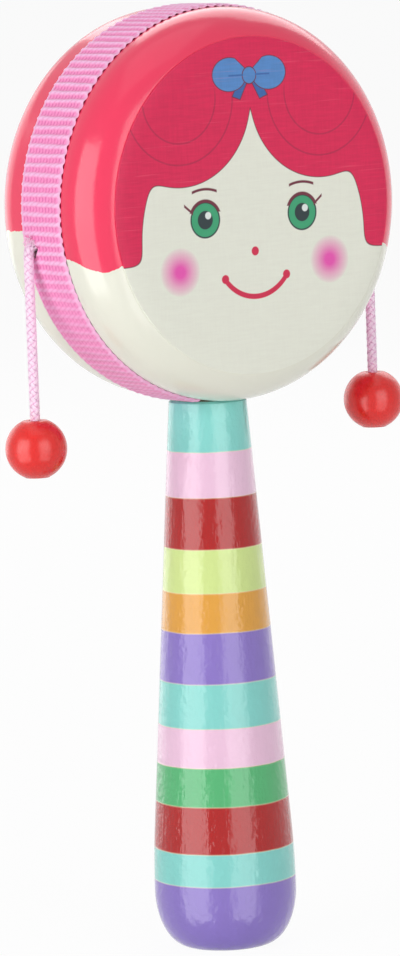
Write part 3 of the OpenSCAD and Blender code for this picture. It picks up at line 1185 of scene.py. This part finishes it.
@dataclass
class Drum:
    """Hollow drum of two turned cups, with a printed film on each head."""

    centre_z: float
    diameter: float = 75.0
    width: float = 34.0
    head_t: float = 3.5
    wall_t: float = 5.0
    shoulder_r: float = 9.4
    head_inset: float = 5.4
    head_edge_r: float = 0.7
    inner_corner_r: float = 3.0
    spigot_len: float = 2.5
    spigot_t: float = 2.0
    groove_w: float = 12.7
    ribbon_shift: float = -1.0
    groove_depth: float = 0.35
    glue_gap: float = 0.05
    print_d: float = 63.8
    print_t: float = 0.2
    print_edge: float = 0.08
    hole_d: float = 2.6
    dowel_hole_d: float = 8.1
    steps: int = 192
    shoulder_steps: int = 20
    edge_steps: int = 6

    def cup_outline(self, head: Head) -> list[Point]:
        """Outline of a cup from the middle of its head, round the rim and back inside."""
        r, w = self.diameter / 2, self.width / 2
        inner_r, inner_w = r - self.wall_t, w - self.head_t
        floor_r, groove = r - self.groove_depth, self.groove_w / 2 + head.value * self.ribbon_shift
        corner_r = self.inner_corner_r
        corner = Bench.arc((inner_r - corner_r, inner_w - corner_r), corner_r, 0, 90, self.edge_steps)
        rim = [(r, groove + 0.1), (r - 0.1, groove), (floor_r, groove), (floor_r, 0.0)]
        if head is Head.FRONT:
            step_r = inner_r + self.spigot_t
            step = [(step_r, 0.0), (step_r, -self.spigot_len), (inner_r, -self.spigot_len)]
        else:
            step_r = inner_r + self.spigot_t + self.glue_gap
            step_w = self.spigot_len + self.glue_gap
            step = [(step_r, 0.0), (step_r, step_w), (inner_r, step_w)]
        return [(0.0, w), *self.shoulder_outline(), *rim, *step, *corner, (0.0, inner_w)]

    def shoulder_outline(self) -> list[Point]:
        """Outline from the flat of the head, over its eased edge and down the round shoulder to the rim."""
        w, flat_r = self.width / 2, self.diameter / 2 - self.head_inset
        middle_x = self.diameter / 2 - self.shoulder_r
        middle = (middle_x, w - math.sqrt(self.shoulder_r ** 2 - (flat_r - middle_x) ** 2))
        rise = w - self.head_edge_r - middle[1]
        run = math.sqrt((self.shoulder_r - self.head_edge_r) ** 2 - rise ** 2)
        meet = math.degrees(math.atan2(rise, run))
        edge_r = self.head_edge_r
        edge = Bench.arc((middle[0] + run, w - edge_r), edge_r, 90, meet, self.edge_steps)
        return edge + Bench.arc(middle, self.shoulder_r, meet, 0, self.shoulder_steps)[1:]

    def build_cup(self, head: Head, material: bpy.types.Material, cords: Iterable[HangingCord]) -> None:
        """Turns one cup and drills its holes.

        Args:
            head: the head that it has.
            material: its paint.
            cords: the cords that leave the drum.
        """
        cup = Bench.turn(f"{head.word}_cup", self.cup_outline(head), self.steps)
        cup.rotation_euler = (math.radians(-90 * head.value), 0.0, 0.0)
        cup.location = (0.0, 0.0, self.centre_z * MM)
        Bench.apply_place(cup)
        for cord in cords:
            mouth = cord.mouth()
            along = Vector((mouth.x, 0.0, mouth.z - self.centre_z)).normalized()
            Bench.drill(cup, self.hole_d, mouth - along * self.wall_t / 2, along, 2 * self.wall_t)
        bottom = Z_AXIS * (self.centre_z - self.diameter / 2 + self.wall_t / 2)
        Bench.drill(cup, self.dowel_hole_d, bottom, -Z_AXIS, 2 * self.wall_t)
        Bench.smooth(cup)
        Bench.dress(cup, material, "drum_paint")
        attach(cup, "drum")
        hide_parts(f"{head.word}_shell")

    def build_print(self, head: Head, material: bpy.types.Material) -> None:
        """Cuts the disc of film for one head."""
        Bench.clear()
        bpy.ops.mesh.primitive_cylinder_add(
            vertices=self.steps, radius=self.print_d / 2 * MM, depth=self.print_t * MM,
            location=(0.0, head.value * (self.width + self.print_t) / 2 * MM, self.centre_z * MM),
            rotation=(math.radians(90), 0.0, 0.0),
        )
        film = Bench.named(f"{head.word}_film")
        Bench.apply_place(film)
        bpy.ops.object.mode_set(mode="EDIT")
        outer_y = head.value * (self.width / 2 + self.print_t) * MM
        Bench.pick(film, "EDGE", lambda edge: all(abs(v.co.y - outer_y) < 0.01 * MM for v in edge.verts))
        bpy.ops.mesh.bevel(offset=self.print_edge * MM, segments=3, affect="EDGES")
        Bench.pick(film, "FACE", lambda face: face.normal.y * head.value > 0.99)
        bpy.ops.mesh.inset(thickness=3 * MM)
        bpy.ops.object.mode_set(mode="OBJECT")
        Bench.smooth(film)
        Bench.dress(film, material, "printed_film")
        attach(film, "drum")
        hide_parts(f"{head.word}_print")

    def build(self, cords: Sequence[HangingCord]) -> None:
        """Makes the cups and the printed films."""
        red, cream = rgb(242, 54, 93), rgb(236, 236, 221)
        paints = {
            Head.FRONT: DrumPaint(red, cream, split_z=136.5, fall=3.2, lip_rise=1.7),
            Head.REAR: DrumPaint(red, cream, split_z=141.1, fall=0.0),
        }
        lacquer = Lacquer(0.17, 0.43, coat_share=0.1, coat_roughness=0.12, tone_share=0.03)
        for head, paint in paints.items():
            material = lacquer.material(f"{head.word}_drum_lacquer", paint.colour, (0.6, 0.6, 0.6))
            self.build_cup(head, material, cords)
        film = PrintedFilm(head_z=self.centre_z).material("printed_film")
        for head in Head:
            self.build_print(head, film)


@dataclass
class Ribbon:
    """Grosgrain ribbon glued into the groove round the rim, with a frayed opening for each cord."""

    centre_z: float
    centre_y: float
    width: float = 12.5
    thickness: float = 0.5
    cloth: float = 0.12
    inner_r: float = 37.2
    end_x: float = 7.0
    rib_count: int = 121
    columns_a_rib: int = 8
    rows: int = 28
    rib_height: float = 0.42
    crest: float = 0.95
    loop_depth: float = 0.42
    edge_w: float = 0.9
    opening_r: float = 1.25
    lip_w: float = 1.2
    lip_height: float = 0.22
    fray_count: int = 46
    fray_points: int = 6
    seed: int = 11

    def half_arc(self) -> float:
        """Angle from the top of the drum to either end."""
        return math.pi - math.asin(self.end_x / (self.inner_r - 0.05))

    def wrapped(self, along: float, across: float, lift: float) -> Vector:
        """Puts a point of the flat ribbon on the rim.

        Args:
            along: place along the ribbon, in ribs from the top of the drum.
            across: place across it, in millimetres.
            lift: height above the ribbon's underside.

        Returns:
            The point in millimetres.
        """
        angle = along / (self.rib_count / 2) * self.half_arc()
        radius = self.inner_r + lift
        x, z = radius * math.sin(angle), radius * math.cos(angle)
        return Vector((x, self.centre_y + across, self.centre_z + z))

    @staticmethod
    def wander(along: float, across: float) -> float:
        """How far the ribs wander from an even pitch, in ribs."""
        return 0.04 * math.sin(0.3 * across + 1.9 * along) + 0.015 * math.sin(1.3 * across - 2.3 * along)

    def opening_gap(self, point: Vector, cord: HangingCord) -> float:
        """Distance of a point of the ribbon from the ragged edge of a cord's opening."""
        away = point - cord.mouth()
        spread = math.hypot((away.y + 0.35) / 1.1, math.hypot(away.x, away.z + 0.35) / 1.2)
        angle = math.atan2(away.z, away.y)
        return spread - self.opening_r - 0.2 * math.sin(3 * angle + 1.0) - 0.12 * math.sin(7 * angle)

    def build(self, cords: Sequence[HangingCord]) -> None:
        """Weaves the ribbon flat, wraps it round the rim and frays its openings."""
        Bench.clear()
        columns = self.rib_count * self.columns_a_rib
        bpy.ops.mesh.primitive_grid_add(x_subdivisions=columns, y_subdivisions=self.rows, size=2.0)
        ribbon = Bench.named("grosgrain_ribbon")
        uv = ribbon.data.uv_layers.active.data
        half = self.width / 2
        for loop in ribbon.data.loops:
            flat = ribbon.data.vertices[loop.vertex_index].co
            along, across = flat.x * self.rib_count / 2, flat.y * half
            uv[loop.index].uv = (along + self.wander(along, across), across)
        for vertex in ribbon.data.vertices:
            along, across = vertex.co.x * self.rib_count / 2, vertex.co.y * half
            crest = (0.5 + 0.5 * math.cos(math.tau * (along + self.wander(along, across)))) ** 1.8
            near_edge = max(0.0, (abs(across) - half + self.edge_w) / self.edge_w)
            across += math.copysign((crest - 0.6) * self.loop_depth * near_edge, across)
            angle = along / (self.rib_count / 2) * self.half_arc()
            slack = min(max((math.cos(angle) + 0.42) / 0.3, 0.3), 1.0)
            lift = self.crest - self.rib_height * slack * (1 - crest) * (1 - 0.4 * near_edge)
            vertex.co = self.wrapped(along, across, lift - (0.6 - 0.3 * slack) * near_edge ** 2)
        self.open_for(ribbon, cords)
        for vertex in ribbon.data.vertices:
            vertex.co *= MM
        Bench.take(ribbon)
        bpy.ops.object.mode_set(mode="EDIT")
        bpy.ops.mesh.select_all(action="SELECT")
        bpy.ops.mesh.normals_make_consistent(inside=False)
        bpy.ops.object.mode_set(mode="OBJECT")
        first = ribbon.data.polygons[0]
        if first.normal.dot(first.center - Z_AXIS * (self.centre_z * MM)) < 0:
            ribbon.data.flip_normals()
        Bench.apply_modifier(ribbon, "SOLIDIFY", thickness=self.cloth * MM, offset=-1.0)
        Bench.smooth(ribbon, 60.0)
        Bench.dress(ribbon, Grosgrain().material("grosgrain"), "ribbon")
        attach(ribbon, "drum")
        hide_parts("ribbon")
        loose = BraidYarn(light=rgb(255, 228, 244), shade=rgb(250, 176, 218)).material("loose_thread")
        frays = [self.fray(loose, cord) for cord in cords]

    def open_for(self, ribbon: bpy.types.Object, cords: Sequence[HangingCord]) -> None:
        """Cuts the ragged openings, and lifts the cloth at their edges."""
        mesh = bmesh.new()
        mesh.from_mesh(ribbon.data)
        for cord in cords:
            inside = [f for f in mesh.faces if self.opening_gap(f.calc_center_median(), cord) < 0]
            bmesh.ops.delete(mesh, geom=inside, context="FACES")
            for vertex in mesh.verts:
                gap = self.opening_gap(vertex.co, cord)
                if gap < self.lip_w:
                    out = vertex.co - Vector((0.0, vertex.co.y, self.centre_z))
                    vertex.co += out.normalized() * self.lip_height * (1 - max(gap, 0.0) / self.lip_w) ** 2
        mesh.to_mesh(ribbon.data)
        mesh.free()

    def fray(self, material: bpy.types.Material, cord: HangingCord) -> bpy.types.Object:
        """Makes the loose threads round a cord's opening."""
        draw = random.Random(self.seed + cord.side.value)
        yarn = Yarn(f"{cord.side.word}_frayed_threads")
        mouth = cord.mouth()
        out = Vector((mouth.x, 0.0, mouth.z - self.centre_z)).normalized()
        along = out.cross(Y_AXIS)
        for number in range(self.fray_count):
            angle = math.tau * (number + draw.uniform(-0.3, 0.3)) / self.fray_count
            way = Y_AXIS * math.cos(angle) + along * math.sin(angle)
            if way.y < -0.5 and way.z < -0.2:
                continue
            start = mouth + out * 0.5 + way * draw.uniform(self.opening_r, 1.9)
            reach, curl = draw.uniform(0.5, 1.3), draw.uniform(-0.8, 0.8)
            sideways = out.cross(way)
            points = []
            for i in range(self.fray_points):
                t = i / (self.fray_points - 1)
                inward = way * (-reach * t if number % 3 else reach * t * 0.5)
                points.append(start + inward + out * (0.45 * math.sin(t * 2.2)) + sideways * (curl * t * t))
            yarn.lay(Strand(points, [out] * self.fray_points, 0.11, 0.09))
        piece = Bench.dress(yarn.piece(), material, "ribbon")
        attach(piece, "drum")
        return piece


@dataclass
class Handle:
    """Turned handle: a rounded base, a belly that runs out into a straight taper, and a dowel hole."""

    length: float = 106.6
    top_d: float = 15.0
    max_d: float = 27.5
    base_flat_d: float = 15.0
    belly_z: float = 11.0
    belly_run: float = 12.0
    top_edge: float = 0.4
    bore_d: float = 8.1
    bore_depth: float = 18.1
    steps: int = 160
    base_steps: int = 28
    belly_steps: int = 10
    band_tops: tuple[float, ...] = (
        0.1266, 0.1857, 0.271, 0.3415, 0.412, 0.4925, 0.5844, 0.6557, 0.7345, 0.8274, 0.909, 1.0,
    )

    def outline(self) -> list[Point]:
        """Outline from the middle of the base, up the side and down into the dowel hole."""
        top_r, max_r, flat_r = self.top_d / 2, self.max_d / 2, self.base_flat_d / 2
        taper = (max_r - top_r) / (self.length - self.belly_z - self.belly_run / 2)
        angles = [math.pi / 2 * i / self.base_steps for i in range(self.base_steps + 1)]
        base = [(flat_r + (max_r - flat_r) * math.sin(a), self.belly_z * (1 - math.cos(a))) for a in angles]
        runs = [self.belly_run * i / self.belly_steps for i in range(1, self.belly_steps + 1)]
        belly = [(max_r - taper * u * u / (2 * self.belly_run), self.belly_z + u) for u in runs]
        edge = self.top_edge
        top = [(top_r + taper * edge, self.length - edge), (top_r - edge, self.length)]
        bore_r, bore_z = self.bore_d / 2, self.length - self.bore_depth
        bore = [(bore_r, self.length), (bore_r, bore_z), (0.0, bore_z)]
        return [(0.0, 0.0), *base, *belly, *top, *bore]

    def build(self) -> None:
        """Turns the handle and paints its bands."""
        purple, aqua, dark_red = rgb(140, 118, 200), rgb(134, 215, 207), rgb(178, 12, 10)
        green, pink = rgb(84, 184, 118), rgb(240, 198, 224)
        orange, lime = rgb(228, 162, 60), rgb(212, 232, 146)
        colours = (purple, aqua, dark_red, green, pink, aqua, purple, orange, lime, dark_red, pink, aqua)
        paint = BandPaint(colours, self.band_tops, self.length)
        handle = Bench.turn("turned_handle", self.outline(), self.steps)
        lacquer = Lacquer(0.1, 0.37, wave_size=1.3, wave_height=0.08, streak_height=0.04, tone_share=0.04)
        material = lacquer.material("band_lacquer", paint.colour, (1.0, 1.0, 0.12), paint.ridge)
        Bench.dress(handle, material, "handle_paint")
        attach(handle, "drum")
        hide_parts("handle")
        dowel = frame["nodes"]["dowel"]
        dowel.data.materials.clear()
        dowel.data.materials.append(BareBeech().material("bare_beech"))


def bead_paint(graph: ShaderGraph, place: bpy.types.NodeSocket) -> bpy.types.NodeSocket:
    """Red of the beads, a little uneven as dipped paint is."""
    pool = graph.grain(place, 4.0).between(-1.0, 1.0)
    return graph.mixed(pool * 0.5, rgb(236, 36, 30), rgb(212, 26, 26))


def main() -> None:
    """Builds the studio and the rattle."""
    logging.basicConfig(level=logging.INFO, format="%(name)s: %(message)s")
    Studio().build()
    shell_low, shell_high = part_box("front_shell")
    drum_z = (shell_low.z + shell_high.z) / 2 / MM
    yarn = BraidYarn().material("cord_yarn")
    dipped = Lacquer(0.27, 0.5, coat_share=0.05, coat_roughness=0.16)
    lacquer = dipped.material("bead_lacquer", bead_paint, (1.0, 1.0, 0.3))
    left = HangingCord(Side.LEFT, drum_z, route=(0, 3, 7, 12, 17, 22, 27, 32, 36, 39.2))
    right = HangingCord(Side.RIGHT, drum_z, route=(0, 3, 7, 11, 15, 20, 25, 30, 33, 36.3))
    for cord, drop in ((left, 36.6), (right, 33.7)):
        pieces = Bead(cord.side, drop).build(lacquer, cord, yarn)
        cord.build(yarn, pieces)
    drum = Drum(drum_z)
    drum.build((left, right))
    Ribbon(drum_z, drum.ribbon_shift).build((left, right))
    Handle().build()


if __name__ == "__main__":
    main()
